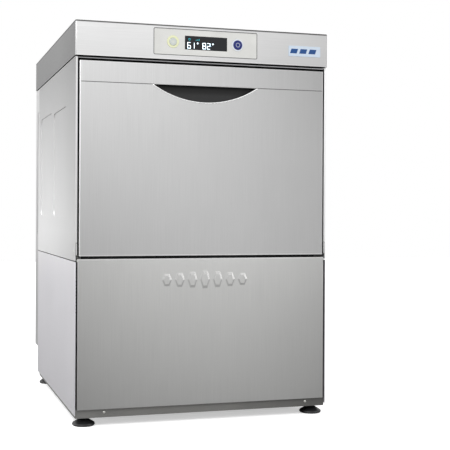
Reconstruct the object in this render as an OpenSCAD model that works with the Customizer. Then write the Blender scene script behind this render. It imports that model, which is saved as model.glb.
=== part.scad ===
// Under-counter glass washer with a drop-down door.
// Origin at the centre of the footprint on the floor, +Z up, the door faces -Y. Millimetres.

/* [Cabinet] */
// Width over the top cover
overall_w = 560; // [556:1:570]
// Depth from the front plane to the rear cover
overall_d = 620; // [616:1:630]
// Height with the feet screwed in
overall_h = 836; // [832:1:850]
// Height of the top cover
hood_h = 72; // [68:1:74]
// Top edge of the lower front panel
base_top = 345.5; // [343:0.5:347]
// Ground clearance under the base pan
ground_gap = 18; // [17:1:20]
// Sheet thickness of the covers
sheet = 1.5; // [1.2:0.1:1.6]

/* [Door] */
// Width of the door
door_w = 542; // [538:1:543]
// Gap between the door and the top cover
door_gap = 10.5; // [10:0.5:12]
// Height of the plain strip above the handle
handle_strip_h = 43; // [40:1:46]
// Width of the handle opening
handle_w = 232; // [200:2:240]
// Depth of the handle opening below the strip
handle_drop = 35; // [26:0.2:38]

/* [Basket] */
// Side of the square glass basket
basket_w = 500; // [490:1:504]
// Height of the basket walls
basket_h = 100; // [80:5:120]

/* [Hidden] */
round_fn = 48;

// Main planes
hw = overall_w / 2;
front = 1 - overall_d / 2;
rear = overall_d / 2;
hood_z = overall_h - hood_h;
side_x = hw - 1.5;
skin_x = side_x - sheet;

// Door planes and hinge
door_hx = door_w / 2;
door_z0 = base_top + 6;
door_z1 = hood_z - door_gap;
door_back = front + 18;
fold_z = door_z1 - handle_strip_h;
hinge_y = front + 10;
hinge_z = door_z0 + 12.5;
pin_r = 4;
run_gap = 0.05;

// Handle opening: an arc through both ends of the handle and its lowest point
arc_r = (pow(handle_w / 2, 2) + pow(handle_drop, 2)) / (2 * handle_drop);
arc_z = fold_z - handle_drop + arc_r;

// Wash chamber
seal_y = front + 21.8;
frame_y = front + 25;
tank_hx = 262;
tank_y0 = frame_y + sheet;
tank_y1 = rear - 63;
tank_z0 = base_top - 5.5;
tank_z1 = hood_z - 7;
mouth_hx = 256;
mouth_z0 = door_z0 + 20;
mouth_z1 = tank_z1 - 12;
rack_y = -17;
rack_z = mouth_z0 + 15;
well_hx = 200;
well_y0 = -190;
well_y1 = 180;
well_z = 262;
lever_top = 404;
low_wash_z = 360;
low_rinse_z = 374;
top_rinse_z = 703;
top_wash_z = 716;
spindle_r = 7;
return_z = hinge_z + 15;
lip_z1 = hood_z - 3;
lip_z0 = lip_z1 - 1.8;

// Machine compartment
pump_y = 70;
pump_z = 118;
shaft_r = 6;
riser_y = tank_y1 + 14;
fitting_z = 64;
boiler_x = -180;
boiler_y = -120;
inlet_x = -180;
spigot_x = -110;
gland_x = 150;
heater_z = 290;
riser_z = 745;
spring_foot_z = ground_gap + 44;
low_panel_hx = 274;
cover_seam = 1.5;
side_y0 = front + 3.5;
foot_x = hw - 25;
foot_front_y = front + 28;
foot_rear_y = 220;
foot_r = 24;
stud_r = 5;
neck_r = 7;

// Control panel centre lines
window_z = hood_z + 37;
button_z = hood_z + 37.5;
start_x = -73;
drain_x = 71;

steel = [0.78, 0.79, 0.80];
dark_steel = [0.45, 0.46, 0.47];
black = [0.05, 0.05, 0.05];
panel_white = [0.86, 0.87, 0.88];
copper = [0.72, 0.45, 0.30];

// Basic shapes
module block(x0, x1, y0, y1, z0, z1) {
  translate([x0, y0, z0]) cube([x1 - x0, y1 - y0, z1 - z0]);
}
module both_sides() {
  children();
  mirror([1, 0, 0]) children();
}
module rod_x(x0, x1, y, z, r) {
  translate([x0, y, z]) rotate([0, 90, 0]) cylinder(h = x1 - x0, r = r, $fn = round_fn);
}
module rod_y(x, y0, y1, z, r) {
  translate([x, y0, z]) rotate([-90, 0, 0]) cylinder(h = y1 - y0, r = r, $fn = round_fn);
}
module rod_z(x, y, z0, z1, r) {
  translate([x, y, z0]) cylinder(h = z1 - z0, r = r, $fn = round_fn);
}
// Straight tubes through a list of corners, with a slightly fuller ball elbow at each corner
module pipe_run(points, r) {
  for (i = [0 : len(points) - 2]) {
    step = points[i + 1] - points[i];
    len_xy = norm([step[0], step[1]]);
    translate(points[i])
      rotate([0, atan2(len_xy, step[2]), atan2(step[1], step[0])])
        cylinder(h = norm(step), r = r, $fn = 32);
  }
  for (i = [1 : len(points) - 2]) translate(points[i]) sphere(r = r * 1.07, $fn = 32);
}
function corner_arc(cx, cy, r, a0, n = 5) =
  [for (i = [0 : n]) [cx + r * cos(a0 + 90 * i / n), cy + r * sin(a0 + 90 * i / n)]];
// Outline of a rectangle whose corners are rounded
function round_rect(x0, x1, y0, y1, r) = concat(
  corner_arc(x1 - r, y1 - r, r, 0), corner_arc(x0 + r, y1 - r, r, 90),
  corner_arc(x0 + r, y0 + r, r, 180), corner_arc(x1 - r, y0 + r, r, 270));
// Plate in the XZ plane with rounded corners
module plate_xz(x0, x1, y0, y1, z0, z1, r) {
  translate([0, y1, 0]) rotate([90, 0, 0]) linear_extrude(y1 - y0)
    polygon(round_rect(x0, x1, z0, z1, r));
}
// Plate in the YZ plane with rounded corners
module plate_yz(x0, x1, y0, y1, z0, z1, r) {
  translate([x0, 0, 0]) rotate([90, 0, 90]) linear_extrude(x1 - x0)
    polygon(round_rect(y0, y1, z0, z1, r));
}
// Folded pan seen from above: closed towards -Y, with rounded front corners
function pan_outline(hx, y0, y1, r) = concat(
  [[hx, y1], [-hx, y1]], corner_arc(-hx + r, y0 + r, r, 180), corner_arc(hx - r, y0 + r, r, 270));
module front_pan(hx, y0, y1, z0, z1, r) {
  difference() {
    translate([0, 0, z0]) linear_extrude(z1 - z0) polygon(pan_outline(hx, y0, y1, r));
    translate([0, 0, z0 + sheet]) linear_extrude(z1 - z0 - 2 * sheet)
      polygon(pan_outline(hx - sheet, y0 + sheet, y1 + 1, r - sheet / 2));
  }
}
module handle_segment(y0, y1, grow) {
  intersection() {
    rod_y(0, y0, y1, arc_z, arc_r + grow);
    block(-handle_w, handle_w, y0, y1, fold_z - handle_drop * 2, fold_z + grow);
  }
}

// Covers
module top_hood() color(steel) {
  corner = 3;
  difference() {
    translate([0, 0, hood_z]) linear_extrude(hood_h)
      polygon(round_rect(-hw, hw, front, rear, corner));
    translate([0, 0, hood_z - 1]) linear_extrude(hood_h + 1 - sheet)
      polygon(round_rect(-hw + sheet, hw - sheet, front + sheet, rear - sheet, corner - 1));
    plate_xz(-115, 115, front - 1, front + 3, hood_z + 9.5, hood_z + 65, 2);
  }
}
module control_panel() color(panel_white) {
  difference() {
    plate_xz(-114.8, 114.8, front + 0.2, front + 3, hood_z + 9.7, hood_z + 64.8, 2);
    block(-47, 47, front, front + 4, window_z - 14.5, window_z + 14.5);
    rod_y(start_x, front, front + 4, button_z, 13.2);
    rod_y(drain_x, front, front + 4, button_z, 13.2);
  }
}
module display_window() color([0.03, 0.04, 0.06])
  block(-46.8, 46.8, front + 0.4, front + 3.2, window_z - 14.3, window_z + 14.3);
module display_board() color([0.1, 0.35, 0.2]) {
  block(-110, 110, front + 14, front + 15.6, hood_z + 12, hood_z + 62);
  block(-42, 42, front + 9, front + 14, window_z - 12, window_z + 12);
  for (x = [start_x, drain_x]) rod_y(x, front + 9.6, front + 14, button_z, 4);
}
module button_rings() color([0.86, 0.92, 0.72]) {
  for (x = [start_x, drain_x]) difference() {
    rod_y(x, front - 0.3, front + 3, button_z, 13);
    rod_y(x, front - 1, front + 4, button_z, x == start_x ? 8.3 : 10.3);
  }
}
module start_button() color([0.8, 0.82, 0.82]) {
  rod_y(start_x, front - 1, front + 4, button_z, 8);
  rod_y(start_x, front + 4, front + 7.2, button_z, 5);
}
module drain_button() color([0.08, 0.16, 0.42]) {
  rod_y(drain_x, front - 1, front + 4, button_z, 10);
  rod_y(drain_x, front + 4, front + 7.2, button_z, 5);
}
module badge_plate() color([0.82, 0.86, 0.92])
  plate_xz(188, 263, front - 0.8, front, hood_z + 20, hood_z + 43, 2);

// Side panels with two shallow pressed fields
module pressed_side() {
  depth = 1.5;
  field_z0 = tank_z0 + 92;
  field = [[-191, -5, field_z0, field_z0 + 240], [22, 212, field_z0, field_z0 + 246]];
  difference() {
    union() {
      block(skin_x, side_x - 1, side_y0 + 2, 264, base_top - 4, hood_z - cover_seam);
      plate_yz(side_x - 1, side_x, side_y0, 264, base_top - 4, hood_z - cover_seam, 2);
      for (f = field)
        plate_yz(skin_x - depth, skin_x, f[0] - 2, f[1] + 2, f[2] - 2, f[3] + 2, 16);
      block(door_hx + 3.3, side_x - 1, side_y0, side_y0 + sheet, return_z, hood_z - 3);
    }
    for (f = field) plate_yz(side_x - depth, side_x + 1, f[0], f[1], f[2], f[3], 14);
  }
}
module side_panel_right() color(steel) pressed_side();
module side_panel_left() color(steel) mirror([1, 0, 0]) pressed_side();
module lower_side_panels() color(steel) both_sides()
  block(skin_x, side_x, front + 1, 262, ground_gap + 6, base_top - 6);
module rear_cover() color(steel) {
  slot_y = [266.5, 276];
  difference() {
    union() {
      block(-side_x, side_x, rear - sheet, rear, 90, hood_z - cover_seam);
      both_sides() block(skin_x, side_x, 265, rear - sheet, 90, hood_z - cover_seam);
      block(-skin_x, skin_x, 280, rear - sheet, 90, 90 + sheet);
    }
    both_sides() plate_yz(skin_x - 1, side_x + 1, slot_y[0], slot_y[1], 383, 704, 4.7);
    for (z = [560 : 22 : 714], x = [-90 : 60 : 90])
      plate_xz(x - 22, x + 22, rear - 3, rear + 1, z, z + 7, 3.4);
  }
}
module lower_rear_panel() color(dark_steel) {
  difference() {
    block(-skin_x + 0.3, skin_x - 0.3, 238, 238 + sheet, ground_gap + 23, tank_z0 - 1);
    for (x = [inlet_x, spigot_x, gland_x]) rod_y(x, 230, 250, fitting_z, 16.5);
    rod_y(0, 230, 250, 222, 13);
    rod_y(215, 230, 250, 310, 9);
  }
}
module lozenge(x, w, h) {
  translate([x, front + 0.01, 300]) rotate([90, 0, 0]) linear_extrude(0.95, scale = 0.65)
    polygon([[-w, 0], [-w * 0.5, h], [w * 0.5, h], [w, 0], [w * 0.5, -h], [-w * 0.5, -h]]);
}
module lower_front_panel() color(steel) {
  front_pan(low_panel_hx, front, front + 9.4, ground_gap + 18, base_top, 3);
  for (z = [ground_gap + 18, base_top - sheet])
    block(-low_panel_hx + 1, low_panel_hx - 1, front + 9.4, front + 17, z, z + sheet);
  for (i = [-3 : 3]) lozenge(i * 28, 11, 19 - abs(i) * 2);
}
module panel_screws() color(dark_steel) {
  for (x = [-216, 233]) rod_y(x, front + 3.2, front + 5.5, ground_gap + 10.5, 3);
  both_sides() rod_x(side_x, side_x + 0.9, front + 20.5, 361, 3);
}

// Base
module base_pan() color(dark_steel) {
  y0 = front + 5.5;
  difference() {
    block(-skin_x + 0.1, skin_x - 0.1, y0, 237.5, ground_gap, ground_gap + 42);
    block(-skin_x + 2.1, skin_x - 2.1, y0 + 2, 235.5, ground_gap + 2, ground_gap + 50);
    block(-hw, hw, y0 - 1, y0 + 15, ground_gap + 17.8, ground_gap + 50);
    block(-hw, hw, 234, 240, ground_gap + 22, ground_gap + 50);
    both_sides() for (y = [foot_front_y, foot_rear_y])
      rod_z(foot_x, y, ground_gap - 1, ground_gap + 3, stud_r + 0.5);
  }
  both_sides() block(tank_hx, skin_x - 2, hinge_y + 24, hinge_y + 44,
                     spring_foot_z - 5, spring_foot_z - 2);
}
module foot_nut(x, y) {
  difference() {
    translate([x, y, ground_gap + 2]) cylinder(h = 16, r = 10, $fn = 6);
    rod_z(x, y, ground_gap, ground_gap + 20, stud_r + run_gap);
  }
}
module foot_nuts() color("silver")
  both_sides() for (y = [foot_front_y, foot_rear_y]) foot_nut(foot_x, y);
module levelling_foot(x, y) {
  translate([x, y, 0]) rotate_extrude($fn = round_fn)
    polygon([[0, 0], [foot_r - 2, 0], [foot_r, 2.5], [foot_r - 1, 5.5], [11, 13], [neck_r, 14],
             [neck_r, ground_gap - 0.4], [stud_r, ground_gap - 0.4], [stud_r, ground_gap + 42],
             [stud_r - 1, ground_gap + 43], [0, ground_gap + 43]]);
}
module front_foot_left() color(black) levelling_foot(-foot_x, foot_front_y);
module front_foot_right() color(black) levelling_foot(foot_x, foot_front_y);
module rear_foot_left() color(black) levelling_foot(-foot_x, foot_rear_y);
module rear_foot_right() color(black) levelling_foot(foot_x, foot_rear_y);

// Door opening
module front_frame() color(steel) {
  difference() {
    block(-skin_x + 0.2, skin_x - 0.2, frame_y, tank_y0, lever_top, lip_z1);
    block(-mouth_hx, mouth_hx, frame_y - 1, tank_y0 + 1, lever_top - 1, mouth_z1);
  }
  block(-skin_x + 0.2, skin_x - 0.2, front + 6, tank_y0, lip_z0, lip_z1);
}
module door_seal() color(black) {
  difference() {
    block(-skin_x + 0.2, skin_x - 0.2, seal_y, frame_y, lever_top, tank_z1);
    block(-mouth_hx - 1, mouth_hx + 1, seal_y - 1, frame_y + 1, lever_top - 1, mouth_z1 + 1);
  }
  both_sides() block(door_hx + 1, skin_x - 0.2, seal_y, frame_y, return_z, lever_top);
}
module hinge_brackets() color(dark_steel) both_sides() {
  difference() {
    union() {
      block(door_hx + 1.2, skin_x - 0.2, front + 3, frame_y + 30, door_z0 + 2, hinge_z + 14);
      block(tank_hx + 0.2, door_hx + 1.2, frame_y + 27, frame_y + 30, door_z0 + 2, hinge_z + 14);
    }
    rod_x(door_hx, hw, hinge_y, hinge_z, pin_r + run_gap);
  }
}

// Chamber
module chamber_solid(g) {
  block(-tank_hx + g, tank_hx - g, tank_y0 + g, tank_y1 - g, tank_z0 + g, tank_z1 - g);
  hull() {
    block(-well_hx - 20 + g, well_hx + 20 - g, well_y0 - 20 + g, well_y1 + 20 - g,
          tank_z0 - 2 + g, tank_z0 + g + 1);
    block(-well_hx + g, well_hx - g, well_y0 + g, well_y1 - g, well_z + 10 + g, well_z + 11 + g);
    block(-60 + g, 60 - g, -60 + g, 60 - g, well_z + g, well_z + 1 + g);
  }
}
module wash_chamber() color([0.7, 0.71, 0.72]) {
  difference() {
    chamber_solid(0);
    chamber_solid(sheet);
    block(-mouth_hx, mouth_hx, tank_y0 - 1, tank_y0 + 3, mouth_z0, mouth_z1);
    rod_z(0, rack_y, well_z - 5, well_z + 8, 22);
    rod_y(0, tank_y1 - 4, tank_y1 + 2, riser_z, 10.2);
    rod_x(-well_hx - 15, -well_hx + 12, 40, heater_z, 16);
  }
}
module rack_rails() color(steel) both_sides() {
  block(tank_hx - sheet - 22, tank_hx - sheet, -262, 232, rack_z - 2, rack_z);
  block(tank_hx - sheet - 22, tank_hx - sheet - 20, -262, 232, rack_z - 12, rack_z - 2);
}
module glass_rack() color([0.25, 0.45, 0.7]) {
  half = basket_w / 2;
  pitch = basket_w / 10;
  bar = 2;
  translate([0, rack_y, rack_z]) {
    difference() {
      block(-half, half, -half, half, 0, basket_h);
      block(-half + 4, half - 4, -half + 4, half - 4, -1, basket_h + 1);
      for (a = [0, 90]) rotate(a) for (i = [-2 : 2])
        block(i * 90 - 34, i * 90 + 34, -half - 1, half + 1, 22, basket_h - 22);
    }
    for (a = [0, 90]) rotate(a) for (i = [-4 : 4])
      block(i * pitch - bar, i * pitch + bar, -half + 3, half - 3, 0, 5);
    block(-half, half, -half, -half + 12, 0, 5);
    block(-half, half, half - 12, half, 0, 5);
    block(-half, -half + 12, -half, half, 0, 5);
    block(half - 12, half, -half, half, 0, 5);
  }
}
module filter_trays() color([0.6, 0.61, 0.62]) both_sides() {
  difference() {
    block(0.5, well_hx + 10, -195, 185, tank_z0 + sheet, tank_z0 + sheet + 4);
    rod_z(0, rack_y, tank_z0, tank_z0 + 10, 24);
    for (x = [50 : 22 : 200], y = [-170 : 28 : 165])
      block(x - 8, x + 8, y - 10, y + 10, tank_z0, tank_z0 + 10);
  }
}
module sump_strainer() color([0.6, 0.61, 0.62]) difference() {
  rod_z(0, rack_y, well_z + sheet, well_z + 42, 34);
  rod_z(0, rack_y, well_z + sheet + 2, well_z + 50, 32);
  rod_z(0, rack_y, well_z, well_z + 10, 23);
}
module tank_heater() color([0.5, 0.5, 0.52]) {
  x0 = -well_hx - 8;
  pipe_run([[x0, 32, heater_z], [150, 32, heater_z], [150, 100, heater_z],
            [-140, 100, heater_z]], 4.5);
  pipe_run([[x0, 48, heater_z], [134, 48, heater_z], [134, 84, heater_z],
            [-140, 84, heater_z], [-140, 100, heater_z]], 4.5);
  rod_x(x0, x0 + 10, 40, heater_z, 15.8);
}

// Spray arms turn about hollow spindles
module lower_spindle() color(steel) {
  rod_z(0, rack_y, well_z - 20, low_wash_z - 1, 20);
  rod_z(0, rack_y, low_wash_z - 1, rack_z - 0.5, spindle_r);
}
module upper_spindle() color(steel) {
  rod_z(0, rack_y, top_rinse_z - 3, top_wash_z + 11.5, spindle_r);
  rod_z(0, rack_y, top_wash_z + 11.5, riser_z - 10, 20);
}
module spray_arm(z, h, reach, w, bore, nozzles) {
  difference() {
    union() {
      rod_z(0, rack_y, z, z + h, 24);
      translate([0, rack_y, z]) linear_extrude(h) polygon(round_rect(-reach, reach, -w, w, w - 1));
    }
    rod_z(0, rack_y, z - 1, z + h + 1, bore);
    for (s = [-1, 1], i = [1 : nozzles])
      translate([s * (40 + i * (reach - 60) / nozzles), rack_y, z - 1])
        cylinder(h = h + 2, r = 2.5, $fn = 16);
  }
}
module lower_wash_arm() color(steel) spray_arm(low_wash_z, 11, 225, 20, spindle_r + run_gap, 5);
module lower_rinse_arm() color(steel)
  translate([0, rack_y, 0]) rotate(90) translate([0, -rack_y, 0])
    spray_arm(low_rinse_z, 8, 215, 12, spindle_r + run_gap, 6);
module upper_wash_arm() color(steel) spray_arm(top_wash_z, 11, 225, 20, spindle_r + run_gap, 5);
module upper_rinse_arm() color(steel)
  translate([0, rack_y, 0]) rotate(90) translate([0, -rack_y, 0])
    spray_arm(top_rinse_z, 8, 215, 12, spindle_r + run_gap, 6);
module wash_riser() color(steel) {
  rod_y(0, rack_y, riser_y, riser_z, 10);
  translate([0, riser_y, riser_z]) sphere(r = 10.4, $fn = round_fn);
  rod_z(0, riser_y, 240, riser_z, 10);
  rod_z(0, rack_y, riser_z - 9.9, riser_z, 16);
}

// Wash pump: volute, motor and one rotor that turns about X
module wash_pump_casing() color([0.15, 0.15, 0.16]) {
  difference() {
    union() {
      rod_x(-78, -30, pump_y, pump_z, 62);
      rod_x(-110, -78, pump_y, pump_z, 24);
      rod_z(-54, pump_y + 45, pump_z, 200, 15);
    }
    rod_x(-72, -36, pump_y, pump_z, 54);
    rod_x(-120, -70, pump_y, pump_z, 18);
    rod_x(-40, -20, pump_y, pump_z, shaft_r + run_gap);
    rod_z(-54, pump_y + 45, pump_z + 20, 210, 10);
  }
}
module wash_pump_motor() color([0.55, 0.56, 0.58]) {
  difference() {
    union() {
      rod_x(-29.9, 128, pump_y, pump_z, 54);
      block(10, 90, pump_y - 40, pump_y + 40, ground_gap + 2, pump_z - 40);
      block(20, 80, pump_y - 30, pump_y + 30, pump_z + 45, pump_z + 76);
    }
    rod_x(-24, 118, pump_y, pump_z, 36);
    rod_x(-31, 122, pump_y, pump_z, shaft_r + run_gap);
  }
}
module pump_rotor() color(dark_steel) {
  rod_x(-62, 121, pump_y, pump_z, shaft_r);
  rod_x(-10, 105, pump_y, pump_z, 34.5);
  rod_x(-50, -46, pump_y, pump_z, 46);
  for (a = [0 : 60 : 300]) translate([-62, pump_y, pump_z]) rotate([a, 0, 0])
    translate([0, 4, -2]) cube([13, 40, 4]);
}

// Rinse water boiler and pumps
module boiler_shell() color(copper) difference() {
  rod_z(boiler_x, boiler_y, ground_gap + 2, 246, 62);
  rod_z(boiler_x, boiler_y, ground_gap, 44, 58);
  rod_z(boiler_x, boiler_y, 48, 242, 58);
  rod_z(boiler_x, boiler_y, 240, 250, 30);
}
module boiler_heater() color([0.5, 0.5, 0.52]) {
  rod_z(boiler_x, boiler_y, 246, 252, 40);
  rod_z(boiler_x, boiler_y, 240, 246, 29.5);
  for (s = [-1, 1]) rod_z(boiler_x + s * 16, boiler_y, 90, 262, 4.5);
  rod_x(boiler_x - 16, boiler_x + 16, boiler_y, 90, 4.5);
}
module small_pump(x, y, z, r, l) {
  rod_y(x, y, y + l, z, r);
  rod_y(x, y - 26, y, z, r + 7);
  rod_z(x, y - 13, z + r, z + r + 26, 8);
  block(x - r * 0.7, x + r * 0.7, y + 10, y + l - 10, ground_gap + 2, z - r * 0.6);
}
module rinse_pump() color([0.2, 0.2, 0.22]) small_pump(-60, -190, 72, 30, 100);
module drain_pump() color([0.12, 0.25, 0.5]) small_pump(-190, 80, 66, 26, 80);
module dosing_pumps() color([0.85, 0.85, 0.86]) for (x = [150, 220]) {
  block(x - 28, x + 28, -265, -222, 80, 136);
  rod_y(x, -285, -265, 108, 24);
  block(x - 34, x + 34, -222, -219, ground_gap + 2.1, 142);
}
module control_box() color(steel) difference() {
  block(120, 262, -200, -10, ground_gap + 2.1, 258);
  block(122, 260, -198, -12, 152, 262);
  block(119, 263, -184, -26, ground_gap, 150);
  block(132, 250, -204, -6, ground_gap, 150);
}
module contactors() color([0.2, 0.2, 0.22]) for (i = [0 : 2])
  block(134 + i * 42, 168 + i * 42, -150, -70, 152, 228);
module inlet_valve() color([0.75, 0.76, 0.78]) {
  rod_y(inlet_x, 237.9, 272, fitting_z, 13.2);
  rod_y(inlet_x, 230, 237.9, fitting_z, 22);
  rod_y(inlet_x, 176, 230, fitting_z, 16);
  block(inlet_x - 16, inlet_x + 16, 176, 206, fitting_z + 10, fitting_z + 56);
}
module drain_spigot() color([0.3, 0.3, 0.32]) {
  rod_y(spigot_x, 237.9, 276, fitting_z, 11);
  rod_y(spigot_x, 230, 237.9, fitting_z, 20);
  rod_y(spigot_x, 200, 230, fitting_z, 11);
}
module cable_gland() color(black) difference() {
  union() {
    rod_y(gland_x, 239.6, 244, fitting_z, 18);
    rod_y(gland_x, 222, 262, fitting_z, 12);
    rod_y(gland_x, 233, 237.9, fitting_z, 18);
  }
  rod_y(gland_x, 220, 264, fitting_z, 6.5);
}
module break_tank() color([0.9, 0.9, 0.92]) difference() {
  block(120, 240, tank_y1 + 2, tank_y1 + 40, 380, 640);
  block(122, 238, tank_y1 + 4, tank_y1 + 38, 382, 638);
  rod_z(160, tank_y1 + 20, 630, 650, 10);
}
module wash_hoses() color(black) {
  suction_x = -135;
  pipe_run([[0, rack_y, well_z - 20.1], [0, rack_y, 216], [suction_x, pump_y, 216],
            [suction_x, pump_y, pump_z], [-110.2, pump_y, pump_z]], 16);
  pipe_run([[-54, pump_y + 45, 200.2], [-54, pump_y + 45, 222], [0, pump_y + 45, 222],
            [0, riser_y, 222], [0, riser_y, 239.8]], 9);
  pipe_run([[-190, 67, 118.2], [-190, 67, 142], [-110, 180, 142], [-110, 180, fitting_z],
            [-110, 199.8, fitting_z]], 10);
}
module rinse_hoses() color([0.75, 0.75, 0.72]) {
  pipe_run([[-60, -203, 128.2], [-60, -203, 150], [-112, -180, 150],
            [-132.5, -162, 150]], 7);
  pipe_run([[215, tank_y1 + 20, 379.8], [215, tank_y1 + 20, 310], [215, 215, 310],
            [215, 215, 56], [215, -211, 36], [-12, -211, 36], [-29.7, -211, 49.3]], 7);
}
module door_switch() color([0.1, 0.1, 0.12])
  block(222, 252, tank_y0 + 2, tank_y0 + 16, tank_z1 + sheet, tank_z1 + 24);

// Counterbalance springs hang between the door levers and the base
module door_springs() color("silver") both_sides() {
  x = tank_hx + 5;
  y = hinge_y + 34;
  coil_z = 228;
  coil_h = 100;
  turns = 14;
  translate([x, y, coil_z]) linear_extrude(coil_h, twist = -360 * turns, slices = turns * 8)
    translate([3.4, 0]) circle(r = 1.6, $fn = 5);
  rod_z(x, y, coil_z + coil_h - 2, hinge_z - 9.5, 2.4);
  rod_z(x, y, spring_foot_z - 2, coil_z + 2, 2.4);
}

// Door
module door_outer_panel() color(steel) {
  difference() {
    front_pan(door_hx, front, door_back, door_z0, door_z1, 3);
    handle_segment(front - 1, front + 4, 0);
    block(-door_hx + 3, door_hx - 3, front - 1, front + 0.8, fold_z - 0.8, fold_z + 0.8);
    both_sides() rod_x(door_hx - 5, door_hx + 1, hinge_y, hinge_z, pin_r);
  }
}
module door_inner_panel() color(steel) {
  y0 = door_back + 0.2;
  y1 = seal_y - 0.4;
  difference() {
    block(-tank_hx, tank_hx, y0, y1, door_z0 + 4, door_z1 - 4);
    plate_xz(-215, 215, y1 - 1.2, y1 + 1, 430, 660, 20);
  }
}
module door_handle_cup() color(black) {
  y0 = front + sheet + 0.1;
  y1 = door_back;
  difference() {
    union() {
      handle_segment(y0, y1, 2);
      block(-handle_w / 2 + 8, handle_w / 2 - 8, y0, y1, fold_z - 4, fold_z + 28);
    }
    handle_segment(y0 - 1, y1 - 2, 0);
    block(-handle_w / 2 + 12, handle_w / 2 - 12, y0 + 2, y1 - 2, fold_z - 6, fold_z + 26);
  }
}
module door_levers() color(dark_steel) both_sides() {
  x0 = door_hx - sheet - 4.6;
  x1 = door_hx - sheet - 0.1;
  difference() {
    union() {
      rod_x(x0, x1, hinge_y, hinge_z, 7);
      block(x0, x1, hinge_y, hinge_y + 34, hinge_z - 8, hinge_z + 1);
      rod_x(x0, x1, hinge_y + 34, hinge_z - 4, 5);
      block(x0, x1, hinge_y - 6, door_back - 1, hinge_z, hinge_z + 60);
    }
    rod_x(x0 - 1, x1 + 1, hinge_y, hinge_z, pin_r);
    rod_x(x0 - 1, x1 + 1, hinge_y + 34, hinge_z - 4, 1.8);
  }
}
module hinge_pins() color(dark_steel) both_sides()
  rod_x(door_hx - sheet - 6, skin_x - 0.1, hinge_y, hinge_z, pin_r);

top_hood();
control_panel();
display_window();
display_board();
button_rings();
badge_plate();
front_frame();
door_seal();
hinge_brackets();
wash_chamber();
side_panel_left();
side_panel_right();
lower_side_panels();
lower_front_panel();
base_pan();
foot_nuts();
rear_cover();
lower_rear_panel();
rack_rails();
glass_rack();
filter_trays();
sump_strainer();
tank_heater();
wash_pump_casing();
wash_pump_motor();
wash_riser();
lower_spindle();
upper_spindle();
boiler_shell();
boiler_heater();
rinse_pump();
drain_pump();
dosing_pumps();
control_box();
contactors();
inlet_valve();
drain_spigot();
cable_gland();
break_tank();
wash_hoses();
rinse_hoses();
panel_screws();
door_switch();
door_springs();
door_outer_panel();
door_inner_panel();
door_handle_cup();
door_levers();
hinge_pins();
start_button();
drain_button();
lower_wash_arm();
lower_rinse_arm();
upper_wash_arm();
upper_rinse_arm();
pump_rotor();
front_foot_left();
front_foot_right();
rear_foot_left();
rear_foot_right();
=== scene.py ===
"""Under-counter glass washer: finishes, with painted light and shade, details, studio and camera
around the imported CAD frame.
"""
import math

import bmesh
import bpy
from mathutils import Matrix, Vector


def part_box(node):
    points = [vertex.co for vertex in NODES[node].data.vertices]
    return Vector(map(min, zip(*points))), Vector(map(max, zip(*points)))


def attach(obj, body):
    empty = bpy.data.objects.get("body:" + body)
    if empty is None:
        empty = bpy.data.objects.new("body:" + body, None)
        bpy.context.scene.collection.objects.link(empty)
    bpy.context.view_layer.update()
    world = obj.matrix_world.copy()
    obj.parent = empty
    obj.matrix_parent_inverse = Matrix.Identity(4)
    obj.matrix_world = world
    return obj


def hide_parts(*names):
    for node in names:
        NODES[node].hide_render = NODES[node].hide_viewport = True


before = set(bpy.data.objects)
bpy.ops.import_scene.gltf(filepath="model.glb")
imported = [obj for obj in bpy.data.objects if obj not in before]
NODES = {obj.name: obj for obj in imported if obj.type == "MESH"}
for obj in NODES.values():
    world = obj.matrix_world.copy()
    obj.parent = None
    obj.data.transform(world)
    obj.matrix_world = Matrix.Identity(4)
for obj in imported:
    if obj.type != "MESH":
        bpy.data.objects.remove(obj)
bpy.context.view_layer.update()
MM = 0.001

# ---------------------------------------------------------------- camera, light and stage
SENSOR_MM = 36.0
LENS_MM = 75.4
CAMERA_AT = (-0.6076, -2.2176, 0.4439)
CAMERA_YAW = math.radians(-15.81)
CAMERA_ROLL = math.radians(0.27)
SHIFT = (0.1111, -0.0297)


def make_camera():
    data = bpy.data.cameras.new("camera")
    data.sensor_width = SENSOR_MM
    data.lens = LENS_MM
    data.shift_x, data.shift_y = SHIFT
    camera = bpy.data.objects.new("camera", data)
    bpy.context.scene.collection.objects.link(camera)
    camera.matrix_world = (
        Matrix.Translation(CAMERA_AT)
        @ Matrix.Rotation(CAMERA_YAW, 4, "Z")
        @ Matrix.Rotation(math.radians(90), 4, "X")
        @ Matrix.Rotation(CAMERA_ROLL, 4, "Z")
    )
    bpy.context.scene.camera = camera


def aim(obj, target):
    direction = Vector(target) - obj.location
    obj.rotation_euler = direction.to_track_quat("-Z", "Y").to_euler()


def area_light(name, at, target, size, watts):
    data = bpy.data.lights.new(name, "AREA")
    data.shape = "RECTANGLE"
    data.size, data.size_y = size
    data.energy = watts
    light = bpy.data.objects.new(name, data)
    light.location = at
    bpy.context.scene.collection.objects.link(light)
    aim(light, target)


def ramp(tree, source, start, end, before=0.0, after=1.0):
    """A value that goes from before to after as source goes from start to end."""
    node = tree.nodes.new("ShaderNodeMapRange")
    node.inputs["From Min"].default_value = start
    node.inputs["From Max"].default_value = end
    node.inputs["To Min"].default_value = before
    node.inputs["To Max"].default_value = after
    tree.links.new(source, node.inputs["Value"])
    return node.outputs[0]


def coordinate(tree, output, axis):
    """One part of a texture coordinate: Object (place, in metres), Normal or Generated."""
    coords = tree.nodes.new("ShaderNodeTexCoord")
    split = tree.nodes.new("ShaderNodeSeparateXYZ")
    tree.links.new(coords.outputs[output], split.inputs[0])
    return split.outputs[axis]


def calculate(tree, node_type, operation, *inputs):
    """A Math or VectorMath node, with each input linked to a socket or set to a constant."""
    node = tree.nodes.new(node_type)
    node.operation = operation
    for socket, given in zip(node.inputs, inputs):
        if isinstance(given, bpy.types.NodeSocket):
            tree.links.new(given, socket)
        else:
            socket.default_value = given
    return node


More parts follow.
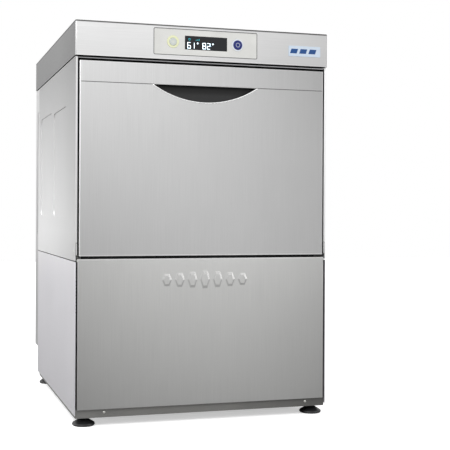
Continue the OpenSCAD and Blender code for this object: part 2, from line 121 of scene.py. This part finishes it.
def math_of(tree, operation, *inputs):
    """The result of a Math node."""
    return calculate(tree, "ShaderNodeMath", operation, *inputs).outputs[0]


def make_world():
    """A white backdrop, and around the object a soft sky that is brighter above than below."""
    world = bpy.data.worlds.new("studio")
    bpy.context.scene.world = world
    world.use_nodes = True
    nodes, links = world.node_tree.nodes, world.node_tree.links
    nodes.clear()
    strength = ramp(world.node_tree, coordinate(world.node_tree, "Generated", "Z"),
                    -0.25, 0.45, 0.42, 0.95)
    sky = nodes.new("ShaderNodeBackground")
    sky.inputs["Color"].default_value = (1, 1, 1, 1)
    links.new(strength, sky.inputs["Strength"])
    backdrop = nodes.new("ShaderNodeBackground")
    backdrop.inputs["Color"].default_value = (1, 1, 1, 1)
    backdrop.inputs["Strength"].default_value = 1.0
    rays = nodes.new("ShaderNodeLightPath")
    mix = nodes.new("ShaderNodeMixShader")
    links.new(rays.outputs["Is Camera Ray"], mix.inputs[0])
    links.new(sky.outputs[0], mix.inputs[1])
    links.new(backdrop.outputs[0], mix.inputs[2])
    out = nodes.new("ShaderNodeOutputWorld")
    links.new(mix.outputs[0], out.inputs[0])


def make_floor():
    half = 6.0
    mesh = bpy.data.meshes.new("floor")
    corners = [(-half, -half, 0), (half, -half, 0), (half, half, 0), (-half, half, 0)]
    mesh.from_pydata(corners, [], [(0, 1, 2, 3)])
    floor = bpy.data.objects.new("floor", mesh)
    bpy.context.scene.collection.objects.link(floor)
    material, tree, shader = new_material("floor_paper")
    shader.inputs["Roughness"].default_value = 0.9
    shader.inputs["Emission Color"].default_value = (1, 1, 1, 1)
    rays = tree.nodes.new("ShaderNodeLightPath")
    for socket, unseen, seen in (("Base Color", 0.30, 0.9), ("Emission Strength", 0.0, 0.5)):
        level = ramp(tree, rays.outputs["Is Camera Ray"], 0.0, 1.0, unseen, seen)
        tree.links.new(level, shader.inputs[socket])
    mesh.materials.append(material)


# ---------------------------------------------------------------- materials
def new_material(name):
    material = bpy.data.materials.new(name)
    material.use_nodes = True
    tree = material.node_tree
    return material, tree, tree.nodes["Principled BSDF"]


def grain(tree, scale, detail=4.0, rough=0.6):
    """Noise in the row frame, stretched by scale = (x, y, z), in cells per metre."""
    coords = tree.nodes.new("ShaderNodeTexCoord")
    mapping = tree.nodes.new("ShaderNodeMapping")
    mapping.inputs["Scale"].default_value = scale
    noise = tree.nodes.new("ShaderNodeTexNoise")
    noise.inputs["Scale"].default_value = 1.0
    noise.inputs["Detail"].default_value = detail
    noise.inputs["Roughness"].default_value = rough
    tree.links.new(coords.outputs["Object"], mapping.inputs["Vector"])
    tree.links.new(mapping.outputs[0], noise.inputs["Vector"])
    return noise.outputs["Fac"]


def spread(tree, value, low, high):
    """Noise, whose values lie mostly between 0.25 and 0.75, spread over low to high."""
    return ramp(tree, value, 0.25, 0.75, low, high)


def tinted(tree, color, *factors):
    """The colour times each factor, held below white, as a colour output."""
    last = None
    for factor in factors:
        mix = tree.nodes.new("ShaderNodeVectorMath")
        mix.operation = "SCALE"
        if last is None:
            mix.inputs[0].default_value = color
        else:
            tree.links.new(last, mix.inputs[0])
        tree.links.new(factor, mix.inputs["Scale"])
        last = mix.outputs[0]
    hold = tree.nodes.new("ShaderNodeVectorMath")
    hold.operation = "MINIMUM"
    hold.inputs[1].default_value = (0.97, 0.97, 0.97)
    tree.links.new(last, hold.inputs[0])
    return hold.outputs[0]


def bumped(tree, shader, value, strength, distance):
    bump = tree.nodes.new("ShaderNodeBump")
    bump.inputs["Strength"].default_value = strength
    bump.inputs["Distance"].default_value = distance
    tree.links.new(value, bump.inputs["Height"])
    tree.links.new(bump.outputs[0], shader.inputs["Normal"])


def brushed_steel(name, color, brush, metallic=0.9, rough=(0.30, 0.42), shade=None,
                  bands=()):
    """Satin stainless sheet: fine brush lines, faint wiping marks and uneven gloss.
    shade goes to corner_factor, a painted gradient of light and shade, its factors at low-low,
    high-low, low-high and high-high, and each of bands to band_factor, a painted line of light
    and shade."""
    material, tree, shader = new_material(name)
    lines = grain(tree, brush, 3.0)
    cloud = grain(tree, (5, 5, 4), 2.0)
    factors = [spread(tree, lines, 0.965, 1.035), spread(tree, cloud, 0.985, 1.015)]
    if shade:
        factors.append(corner_factor(tree, *shade))
    factors += [band_factor(tree, *band) for band in bands]
    tree.links.new(tinted(tree, color, *factors), shader.inputs["Base Color"])
    tree.links.new(spread(tree, lines, *rough), shader.inputs["Roughness"])
    shader.inputs["Metallic"].default_value = metallic
    shader.inputs["Anisotropic"].default_value = 0.35
    bumped(tree, shader, lines, 0.12, 0.0002)
    return material


def band_factor(tree, output, axis, start, end, before, after, size=False):
    """A factor that goes from before to after as one part of a coordinate goes from start to end.
    output is Object (place, in metres) or Normal; size takes the part without its sign."""
    source = coordinate(tree, output, axis)
    if size:
        source = math_of(tree, "ABSOLUTE", source)
    return ramp(tree, source, start, end, before, after)


def corner_factor(tree, axis, span, z_span, factors, middle=0.0):
    """Painted light and shade: a factor blended between the four corners of a sheet in the row
    frame, with a painted soft highlight in the middle that adds the part middle."""
    across = ramp(tree, coordinate(tree, "Object", axis), *span)
    painted_mid_highlight = tree.nodes.new("ShaderNodeFloatCurve")
    curve = painted_mid_highlight.mapping.curves[0]
    curve.points[0].location = (0.0, 0.5)
    curve.points[1].location = (1.0, 0.5)
    curve.points.new(0.5, 0.5 + middle / 2)
    tree.links.new(across, painted_mid_highlight.inputs["Value"])
    up = ramp(tree, coordinate(tree, "Object", "Z"), *z_span)
    rows = []
    for low, high in (factors[:2], factors[2:]):
        mix = tree.nodes.new("ShaderNodeMix")
        mix.inputs["A"].default_value = low
        mix.inputs["B"].default_value = high
        tree.links.new(across, mix.inputs["Factor"])
        rows.append(mix.outputs["Result"])
    mix = tree.nodes.new("ShaderNodeMix")
    tree.links.new(up, mix.inputs["Factor"])
    tree.links.new(rows[0], mix.inputs["A"])
    tree.links.new(rows[1], mix.inputs["B"])
    lift = math_of(tree, "MULTIPLY", mix.outputs["Result"], painted_mid_highlight.outputs[0])
    return math_of(tree, "MULTIPLY", lift, 2.0)


def moulded(name, color, rough=(0.35, 0.5), cells=900, bump=0.15, metallic=0.0, glow=0.0,
            bands=()):
    """Moulded plastic, rubber or paint: a fine pebble in colour, gloss and surface."""
    material, tree, shader = new_material(name)
    pebble = grain(tree, (cells, cells, cells), 3.0)
    cloud = grain(tree, (14, 14, 14), 3.0)
    factors = [spread(tree, pebble, 0.94, 1.06), spread(tree, cloud, 0.93, 1.07)]
    factors += [band_factor(tree, *band) for band in bands]
    tree.links.new(tinted(tree, color, *factors), shader.inputs["Base Color"])
    tree.links.new(spread(tree, cloud, *rough), shader.inputs["Roughness"])
    shader.inputs["Metallic"].default_value = metallic
    if glow:
        shader.inputs["Emission Color"].default_value = (*color, 1)
        shader.inputs["Emission Strength"].default_value = glow
    bumped(tree, shader, pebble, bump, 0.0001)
    return material


def ring_material():
    """Both rings are one node: pale green left of the middle, bluish white right of it."""
    material, tree, shader = new_material("ring_light")
    side = math_of(tree, "GREATER_THAN", coordinate(tree, "Object", "X"), 0.0)
    mix = tree.nodes.new("ShaderNodeMix")
    mix.data_type = "RGBA"
    mix.inputs["A"].default_value = (0.86, 0.88, 0.58, 1)
    mix.inputs["B"].default_value = (0.82, 0.86, 0.92, 1)
    tree.links.new(side, mix.inputs["Factor"])
    soft = grain(tree, (300, 300, 300), 2.0)
    scale = tree.nodes.new("ShaderNodeVectorMath")
    scale.operation = "SCALE"
    tree.links.new(mix.outputs["Result"], scale.inputs[0])
    tree.links.new(spread(tree, soft, 0.96, 1.04), scale.inputs["Scale"])
    tree.links.new(scale.outputs[0], shader.inputs["Base Color"])
    tree.links.new(spread(tree, soft, 0.3, 0.42), shader.inputs["Roughness"])
    return material


NO_HOLE = -MM


def ring_marked(material, node, inner, outer, color):
    """Paints a flat ring of another colour on a round cap, so that nothing stands proud of it."""
    tree = material.node_tree
    low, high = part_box(node)
    coords = tree.nodes.new("ShaderNodeTexCoord")
    centre = ((low.x + high.x) / 2, 0, (low.z + high.z) / 2)
    from_centre = calculate(tree, "ShaderNodeVectorMath", "SUBTRACT",
                            coords.outputs["Object"], centre)
    flat = calculate(tree, "ShaderNodeVectorMath", "MULTIPLY", from_centre.outputs[0], (1, 0, 1))
    reach = calculate(tree, "ShaderNodeVectorMath", "LENGTH", flat.outputs[0]).outputs["Value"]
    both = math_of(tree, "MULTIPLY", math_of(tree, "LESS_THAN", reach, outer),
                   math_of(tree, "GREATER_THAN", reach, inner))
    shader = tree.nodes["Principled BSDF"]
    mix = tree.nodes.new("ShaderNodeMix")
    mix.data_type = "RGBA"
    mix.inputs["B"].default_value = (*color, 1)
    tree.links.new(shader.inputs["Base Color"].links[0].from_socket, mix.inputs["A"])
    tree.links.new(both, mix.inputs["Factor"])
    tree.links.new(mix.outputs["Result"], shader.inputs["Base Color"])
    return material


VERTICAL = (900, 900, 9)
ALONG_X = (9, 900, 900)
ALONG_Y = (900, 9, 900)
WIDE = (-0.28, 0.28)
DEEP = (-0.31, 0.31)

# Bands for band_factor, as (output, axis, start, end, before, after, size). They are painted
# light and shade: they draw the dark and light lines that the photo shows along the sheets'
# edges, so they stay put in any light. Painted shade: sides of hood and door, undersides, what
# lies behind the fronts, and the hood's rim and end fold. TOP_FACE, END_FACE and HOOD_FRONT are
# painted light that brings the flat faces next to them back up.
SIDEWAYS_HOOD = ("Normal", "X", 0.85, 0.98, 1.0, 0.25, True)
SIDEWAYS = ("Normal", "X", 0.9, 0.99, 1.0, 0.01, True)
TOP_RIM = ("Object", "Z", 0.8322, 0.8340, 1.0, 0.14)
TOP_FACE = ("Normal", "Z", 0.90, 0.99, 1.0, 5.2)
END_FOLD = ("Normal", "X", 0.10, 0.30, 1.0, 0.45)
END_FACE = ("Normal", "X", 0.75, 0.90, 1.0, 2.2)
HOOD_NEAR = ("Object", "Y", -0.300, -0.080, 0.80, 1.0)
HOOD_FRONT = ("Normal", "Y", -0.98, -0.85, 1.25, 1.0)
BEHIND_SHEET = ("Object", "Y", -0.3073, -0.306, 1.0, 0.08)
BEHIND_MOUTH = ("Object", "Y", -0.2815, -0.2810, 0.04, 1.0)
UNDERSIDE = ("Normal", "Z", -0.3, -0.7, 1.0, 0.01)
BEHIND_LIP = ("Object", "Y", -0.3020, -0.3010, 1.0, 0.03)
# Painted highlights: the edges of the sheets, and the fronts of the side panels' folds
HOOD_FOOT = ("Object", "Z", 0.7655, 0.7665, 1.12, 1.0)
DOOR_FOOT = ("Object", "Z", 0.3530, 0.3545, 1.30, 1.0)
DOOR_HEAD = ("Object", "Z", 0.7515, 0.7525, 1.0, 1.15)
DOOR_SIDES = ("Object", "X", 0.2680, 0.2692, 1.0, 1.25, True)
LOWER_HEAD = ("Object", "Z", 0.3425, 0.3438, 1.0, 1.25)
SIDE_HEAD = ("Object", "Z", 0.7600, 0.7606, 1.0, 1.2)
SIDE_TAIL = ("Object", "Y", 0.2500, 0.2515, 1.0, 1.4)
FACING_FRONT = ("Normal", "Y", -0.95, -0.60, 3.2, 1.0)
# Painted shade again: the inner edge of those folds
INSIDE_RETURN = ("Object", "X", 0.2744, 0.2749, 0.04, 1.0, True)
# Painted light and shade: the base rail's slow fade to the right, and the painted shadow at the head
# of the handle's recess
BASE_PAINTED_SHADING = ("Object", "X", 0.04, 0.26, 1.15, 0.68)
CUP_HEAD = ("Object", "Z", 0.692, 0.700, 1.0, 0.2)
# Painted shade on the slopes of the raised lozenges, taken off their flat tops again
SLOPES = ("Object", "Y", -0.30916, -0.30908, 0.80, 1.0)
TOPS = ("Object", "Y", -0.30992, -0.30984, 1.24, 1.0)


def make_materials():
    # Each shade below paints a gradient of light and shade into the colour, and each band paints a
    # line of light and shade.
    return {
        "hood": brushed_steel("hood_steel", (0.90, 0.90, 0.90), ALONG_X,
                              shade=("X", WIDE, (0.764, 0.836), (1.0, 0.60, 1.06, 0.64), 0.13),
                              bands=[SIDEWAYS_HOOD, UNDERSIDE, TOP_RIM, TOP_FACE, END_FOLD,
                                     END_FACE, HOOD_NEAR, HOOD_FRONT, HOOD_FOOT]),
        "door": brushed_steel("door_steel", (0.84, 0.84, 0.84), VERTICAL,
                              shade=("X", WIDE, (0.35, 0.75), (0.78, 0.72, 1.03, 0.47), 0.17),
                              bands=[SIDEWAYS, DOOR_FOOT, DOOR_HEAD, DOOR_SIDES]),
        "lower": brushed_steel("lower_steel", (0.69, 0.69, 0.68), VERTICAL,
                               shade=("X", WIDE, (0.03, 0.345), (0.68, 0.75, 1.04, 0.96), 0.27),
                               bands=[BEHIND_SHEET, LOWER_HEAD, SLOPES, TOPS]),
        "side": brushed_steel("side_steel", (0.86, 0.86, 0.86), VERTICAL,
                              shade=("Y", DEEP, (0.40, 0.76), (0.80, 1.12, 0.34, 0.52), 0.10),
                              bands=[FACING_FRONT, INSIDE_RETURN, SIDE_HEAD, SIDE_TAIL]),
        "rear": brushed_steel("rear_steel", (0.72, 0.72, 0.72), VERTICAL,
                              shade=("X", WIDE, (0.05, 0.76), (0.86, 1.0, 0.94, 0.82), 0.10)),
        "side_low": brushed_steel("side_low_steel", (0.86, 0.85, 0.88), VERTICAL,
                                  shade=("Y", DEEP, (0.03, 0.34), (0.99, 0.98, 1.10, 1.13))),
        "inner": brushed_steel("inner_steel", (0.66, 0.67, 0.68), ALONG_Y, rough=(0.22, 0.34)),
        "chamber": brushed_steel("chamber_steel", (0.66, 0.67, 0.68), ALONG_Y,
                                 rough=(0.22, 0.34), bands=[BEHIND_MOUTH]),
        "frame": brushed_steel("frame_steel", (0.42, 0.42, 0.43), ALONG_X,
                               bands=[UNDERSIDE, BEHIND_LIP]),
        "bracket": brushed_steel("bracket_steel", (0.30, 0.30, 0.30), ALONG_X,
                                 bands=[FACING_FRONT, INSIDE_RETURN]),
        "hinge": brushed_steel("hinge_steel", (0.12, 0.12, 0.125), (400, 400, 400)),
        "zinc": brushed_steel("zinc_plate", (0.72, 0.72, 0.68), (300, 300, 300)),
        "base": moulded("base_sheet", (0.205, 0.203, 0.195), (0.4, 0.55), metallic=0.5,
                        bands=[BASE_PAINTED_SHADING]),
        "panel": moulded("panel_silver", (0.745, 0.745, 0.72), (0.32, 0.42), 1400, 0.08),
        # lip_steel is paler and less metallic than the door steel: a painted highlight along the
        # handle's rolled edge.
        "lip": brushed_steel("lip_steel", (0.97, 0.97, 0.97), (300, 300, 300), 0.4, (0.25, 0.3)),
        "fold": moulded("fold_shadow", (0.16, 0.16, 0.16), (0.5, 0.6), 600, 0.05),
        # The rim's near-black is painted shade along the edge of the control panel's recess.
        "rim": moulded("panel_rim_shade", (0.10, 0.10, 0.105), (0.4, 0.5), 600, 0.05),
        "display": moulded("display_glass", (0.003, 0.004, 0.006), (0.35, 0.45), 200, 0.01),
        "board": moulded("circuit_board", (0.03, 0.16, 0.07), (0.4, 0.6)),
        "ring": ring_material(),
        "start": ring_marked(moulded("start_cap", (0.62, 0.66, 0.64), (0.3, 0.4)),
                             "start_button", NO_HOLE, 3.0 * MM, (0.70, 0.72, 0.66)),
        "drain": ring_marked(moulded("drain_cap", (0.012, 0.022, 0.17), (0.25, 0.35)),
                             "drain_button", 3.7 * MM, 4.7 * MM, (0.55, 0.58, 0.66)),
        "badge": moulded("badge_face", (0.66, 0.76, 0.88), (0.2, 0.3), 600, 0.05),
        "badge_mark": moulded("badge_mark", (0.012, 0.075, 0.26), (0.2, 0.3), 600, 0.05),
        "seal": moulded("seal_rubber", (0.008, 0.008, 0.008), (0.6, 0.8), 500),
        "foot": moulded("foot_rubber", (0.012, 0.012, 0.013), (0.3, 0.45), 600),
        "black": moulded("black_plastic", (0.012, 0.012, 0.013), (0.35, 0.5)),
        "cup": moulded("cup_plastic", (0.022, 0.022, 0.023), (0.3, 0.42), 1100, 0.2,
                       bands=[CUP_HEAD]),
        "rack": moulded("rack_plastic", (0.05, 0.14, 0.38), (0.35, 0.5), 700),
        "copper": brushed_steel("boiler_copper", (0.80, 0.42, 0.26), (60, 60, 200)),
        "sheath": brushed_steel("heater_sheath", (0.35, 0.35, 0.37), (200, 200, 200)),
        "motor": moulded("motor_shell", (0.38, 0.39, 0.41), (0.4, 0.6), 500, 0.3, 0.8),
        "drain_plastic": moulded("drain_plastic", (0.10, 0.12, 0.17)),
        "white": moulded("white_plastic", (0.72, 0.72, 0.69)),
        "contactor": moulded("contactor_plastic", (0.08, 0.08, 0.09)),
        "hose": moulded("black_hose", (0.012, 0.012, 0.012), (0.5, 0.7)),
        "clear_hose": moulded("clear_hose", (0.62, 0.62, 0.56), (0.2, 0.35)),
        "digit": moulded("lit_segment", (0.75, 0.9, 1.0), glow=1.6),
        "icon": moulded("lit_icon", (0.04, 0.36, 0.42), glow=0.5),
    }


# ---------------------------------------------------------------- finishes on CAD nodes
FINISH = {
    "hood": ["top_hood"],
    "door": ["door_outer_panel"],
    "lower": ["lower_front_panel"],
    "side": ["side_panel_left", "side_panel_right"],
    "rear": ["rear_cover"],
    "side_low": ["lower_side_panels"],
    "chamber": ["wash_chamber"],
    "inner": ["door_inner_panel", "rack_rails", "filter_trays",
              "sump_strainer", "lower_spindle", "upper_spindle", "wash_riser", "lower_wash_arm",
              "lower_rinse_arm", "upper_wash_arm", "upper_rinse_arm"],
    "frame": ["front_frame"],
    "base": ["base_pan", "lower_rear_panel", "control_box"],
    "bracket": ["hinge_brackets"],
    "hinge": ["door_levers", "hinge_pins", "panel_screws", "pump_rotor"],
    "zinc": ["foot_nuts", "door_springs"],
    "panel": ["control_panel"],
    "display": ["display_window"],
    "board": ["display_board"],
    "ring": ["button_rings"],
    "start": ["start_button"],
    "drain": ["drain_button"],
    "badge": ["badge_plate"],
    "seal": ["door_seal"],
    "foot": ["front_foot_left", "front_foot_right", "rear_foot_left", "rear_foot_right"],
    "black": ["door_switch", "cable_gland", "wash_pump_casing", "rinse_pump"],
    "cup": ["door_handle_cup"],
    "rack": ["glass_rack"],
    "copper": ["boiler_shell"],
    "sheath": ["boiler_heater", "tank_heater"],
    "motor": ["wash_pump_motor"],
    "drain_plastic": ["drain_pump", "drain_spigot"],
    "white": ["dosing_pumps", "inlet_valve", "break_tank"],
    "contactor": ["contactors"],
    "hose": ["wash_hoses"],
    "clear_hose": ["rinse_hoses"],
}
# Bevel width in mm for the folded and moulded edges that show
EDGE_MM = {
    "top_hood": 1.6, "door_outer_panel": 1.4, "lower_front_panel": 1.4, "rear_cover": 1.0,
    "door_inner_panel": 0.6, "control_panel": 0.4, "badge_plate": 0.3, "base_pan": 0.5,
    "start_button": 0.7, "drain_button": 0.7, "button_rings": 0.4, "glass_rack": 0.8,
    "door_handle_cup": 0.6, "lower_wash_arm": 1.5, "upper_wash_arm": 1.5,
    "lower_rinse_arm": 1.2, "upper_rinse_arm": 1.2, "hinge_brackets": 0.5,
    "dosing_pumps": 1.5, "contactors": 1.0, "break_tank": 2.0, "door_seal": 0.5,
    "side_panel_left": 0.45, "side_panel_right": 0.45, "lower_side_panels": 0.5,
}


def finish_nodes(materials):
    for key, names in FINISH.items():
        for name in names:
            slots = NODES[name].data.materials
            slots.clear()
            slots.append(materials[key])
    for name, width in EDGE_MM.items():
        round_edges(NODES[name], width * MM)


def round_edges(obj, width):
    """Joins the split faces, drops the flat triangles and rounds every sharp edge."""
    weld = obj.modifiers.new("weld", "WELD")
    weld.merge_threshold = 0.00001
    flat = obj.modifiers.new("flat", "DECIMATE")
    flat.decimate_type = "DISSOLVE"
    flat.angle_limit = math.radians(1.0)
    bevel = obj.modifiers.new("bevel", "BEVEL")
    bevel.width = width
    bevel.segments = 3
    bevel.limit_method = "ANGLE"
    bevel.angle_limit = math.radians(40)
    bevel.harden_normals = True
    bevel.use_clamp_overlap = True


# ---------------------------------------------------------------- mesh helpers
def add_piece(name, bm, material, body, smooth=False):
    mesh = bpy.data.meshes.new(name)
    bm.to_mesh(mesh)
    bm.free()
    for face in mesh.polygons:
        face.use_smooth = smooth
    mesh.materials.append(material)
    obj = bpy.data.objects.new(name, mesh)
    bpy.context.scene.collection.objects.link(obj)
    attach(obj, body)
    return obj


def add_box(bm, low, high):
    size = [h - l for l, h in zip(low, high)]
    centre = [(h + l) / 2 for l, h in zip(low, high)]
    matrix = Matrix.Translation(centre) @ Matrix.Diagonal((*size, 1))
    return bmesh.ops.create_cube(bm, size=1.0, matrix=matrix)["verts"]


def tube_along(bm, points, radius, sides=10):
    """A round bead through the points, closed at both ends."""
    rings = []
    for i, point in enumerate(points):
        ahead = points[min(i + 1, len(points) - 1)]
        behind = points[max(i - 1, 0)]
        along = (Vector(ahead) - Vector(behind)).normalized()
        side = along.cross(Vector((0, 1, 0))).normalized()
        up = side.cross(along)
        ring = []
        for k in range(sides):
            angle = 2 * math.pi * k / sides
            offset = side * math.cos(angle) + up * math.sin(angle)
            ring.append(bm.verts.new(Vector(point) + offset * radius))
        rings.append(ring)
    for a, b in zip(rings, rings[1:]):
        for k in range(sides):
            bm.faces.new((a[k], a[(k + 1) % sides], b[(k + 1) % sides], b[k]))
    bm.faces.new(rings[0][::-1])
    bm.faces.new(rings[-1])
    bmesh.ops.recalc_face_normals(bm, faces=bm.faces)


# ---------------------------------------------------------------- details
HANDLE_FOLD_Z = 710.5 * MM
HANDLE_HALF_W = 116 * MM
SCREW_R = 3 * MM
RAIL_SCREWS = ((-1, -216 * MM), (1, 233 * MM))
RAIL_SCREW_Z = 28.5 * MM
SIDE_SCREW_Y, SIDE_SCREW_Z = -288.5 * MM, 361 * MM


def make_handle_lip(materials):
    """The rolled edge of sheet around the lower arc of the handle opening, in a paler, less metallic
    steel that paints its highlight.
    """
    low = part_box("door_handle_cup")[0]
    door_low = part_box("door_outer_panel")[0]
    wall = 2 * MM
    bottom = low.z + wall
    top = HANDLE_FOLD_Z
    half = HANDLE_HALF_W
    bead = 1.7 * MM
    drop = top - bottom
    radius = (half * half + drop * drop) / (2 * drop)
    centre_z = bottom + radius
    reach = math.asin(half / radius)
    ring = radius + 0.7 * bead
    points = []
    steps = 48
    for i in range(steps + 1):
        angle = -reach + 2 * reach * i / steps
        points.append((math.sin(angle) * ring, door_low.y + 0.85 * MM,
                       centre_z - math.cos(angle) * ring))
    bm = bmesh.new()
    tube_along(bm, points, bead)
    add_piece("handle_lip", bm, materials["lip"], "door", smooth=True)


def make_fold_line(materials):
    """The shadow in the shallow groove along the fold of the door sheet."""
    low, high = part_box("door_outer_panel")
    inset = 3 * MM
    bm = bmesh.new()
    for x0, x1 in ((low.x + inset, -HANDLE_HALF_W), (HANDLE_HALF_W, high.x - inset)):
        add_box(bm, (x0, low.y + 0.2 * MM, HANDLE_FOLD_Z - 0.7 * MM),
                (x1, low.y + 0.9 * MM, HANDLE_FOLD_Z + 0.7 * MM))
    add_piece("fold_line", bm, materials["fold"], "door")


# Seven segments of a digit: (x0, z0, x1, z1) in units of its width and half height
SEGMENTS = {
    "a": (0.1, 2.0, 0.9, 2.0), "b": (1.0, 1.9, 1.0, 1.1), "c": (1.0, 0.9, 1.0, 0.1),
    "d": (0.1, 0.0, 0.9, 0.0), "e": (0.0, 0.1, 0.0, 0.9), "f": (0.0, 1.1, 0.0, 1.9),
    "g": (0.1, 1.0, 0.9, 1.0),
}
DIGITS = {"6": "acdefg", "1": "bc", "8": "abcdefg", "2": "abged"}


def make_display_marks(materials):
    """Two generic temperatures in seven-segment digits, and small lit symbols above them."""
    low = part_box("display_window")[0]
    y0, y1 = low.y - 0.25 * MM, low.y + 0.1 * MM
    width, half_height, stroke = 6.2 * MM, 6.0 * MM, 0.65 * MM
    bm = bmesh.new()
    base_z = low.z + 2.8 * MM
    starts = (5.8, 14.2, 39.3, 49.3)
    for text, start in zip("6182", starts):
        left = low.x + start * MM
        for key in DIGITS[text]:
            sx0, sz0, sx1, sz1 = SEGMENTS[key]
            x0, x1 = left + sx0 * width, left + sx1 * width
            z0, z1 = base_z + sz0 * half_height, base_z + sz1 * half_height
            add_box(bm, (x0 - stroke, y0, min(z0, z1) - stroke),
                    (x1 + stroke, y1, max(z0, z1) + stroke))
    for x in (28.0, 62.0):
        ring_y(bm, low.x + x * MM, low.y, base_z + 2 * half_height - 1 * MM, 1.4 * MM, 0.45 * MM)
    add_piece("display_digits", bm, materials["digit"], "cabinet")
    bm = bmesh.new()
    icon_z = low.z + 21.5 * MM
    for i in range(3):
        x = low.x + (24 + 3.2 * i) * MM
        add_box(bm, (x, y0, icon_z - 2 * MM), (x + 1.3 * MM, y1, icon_z + (i * 1.2 - 0.6) * MM))
    ring_y(bm, low.x + 10 * MM, low.y, icon_z, 1.9 * MM, 0.5 * MM)
    add_piece("display_icons", bm, materials["icon"], "cabinet")


def ring_y(bm, x, y, z, radius, thick):
    """A small ring lying against the plane Y = y."""
    points = []
    for i in range(21):
        angle = 2 * math.pi * i / 20
        points.append((x + radius * math.cos(angle), y, z + radius * math.sin(angle)))
    tube_along(bm, points, thick, 6)


def make_panel_rim(materials):
    """A thin dark ring around the control panel: painted shade along the edge of its recess."""
    low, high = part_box("control_panel")
    y = low.y + 0.05 * MM
    corner = 2.5 * MM
    points = []
    for cx, cz, start in ((high.x - corner, high.z - corner, 0),
                          (low.x + corner, high.z - corner, 90),
                          (low.x + corner, low.z + corner, 180),
                          (high.x - corner, low.z + corner, 270)):
        for i in range(5):
            angle = math.radians(start + 22.5 * i)
            points.append((cx + corner * math.cos(angle), y, cz + corner * math.sin(angle)))
    points.append(points[0])
    bm = bmesh.new()
    tube_along(bm, points, 0.75 * MM, 8)
    add_piece("panel_rim", bm, materials["rim"], "cabinet", smooth=True)


def make_badge_marks(materials):
    """Three plain slanted bars on the small plate."""
    low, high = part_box("badge_plate")
    bm = bmesh.new()
    count = 3
    inset = 5 * MM
    step = (high.x - low.x - 2 * inset) / count
    for i in range(count):
        x0 = low.x + inset + i * step
        verts = add_box(bm, (x0, low.y - 0.15 * MM, low.z + 6.5 * MM),
                        (x0 + step * 0.72, low.y + 0.1 * MM, high.z - 6.5 * MM))
        for v in verts:
            v.co.x += (v.co.z - (low.z + high.z) / 2) * 0.35
    add_piece("badge_bars", bm, materials["badge_mark"], "cabinet")


def make_screws(materials):
    """Domed screw heads in place of the plain discs."""
    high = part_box("panel_screws")[1]
    bm = bmesh.new()
    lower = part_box("base_pan")[0]
    for sign, x in RAIL_SCREWS:
        dome = bmesh.ops.create_uvsphere(
            bm, u_segments=24, v_segments=12, radius=SCREW_R,
            matrix=Matrix.Translation((x, lower.y, RAIL_SCREW_Z)) @ Matrix.Diagonal((1, 0.5, 1, 1)))
        for v in dome["verts"]:
            v.co.y = min(v.co.y, lower.y + 0.2 * MM)
        side_x = sign * (high.x - 0.9 * MM)
        bmesh.ops.create_uvsphere(
            bm, u_segments=24, v_segments=12, radius=SCREW_R,
            matrix=Matrix.Translation((side_x, SIDE_SCREW_Y, SIDE_SCREW_Z))
            @ Matrix.Diagonal((0.3, 1, 1, 1)))
    screws = add_piece("screw_heads", bm, materials["zinc"], "cabinet", smooth=True)
    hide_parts("panel_screws")


make_camera()
make_world()
make_floor()
area_light("key", (-1.6, -2.2, 2.4), (0, -0.2, 0.5), (1.6, 1.2), 38)
area_light("fill", (2.2, -2.0, 1.2), (0, 0, 0.4), (1.2, 1.6), 10)
area_light("side", (-2.6, 0.7, 0.9), (0, 0, 0.25), (3.4, 2.2), 34)
MATERIALS = make_materials()
finish_nodes(MATERIALS)
make_handle_lip(MATERIALS)
make_fold_line(MATERIALS)
make_display_marks(MATERIALS)
make_panel_rim(MATERIALS)
make_badge_marks(MATERIALS)
make_screws(MATERIALS)
bpy.context.scene.view_settings.view_transform = "Standard"
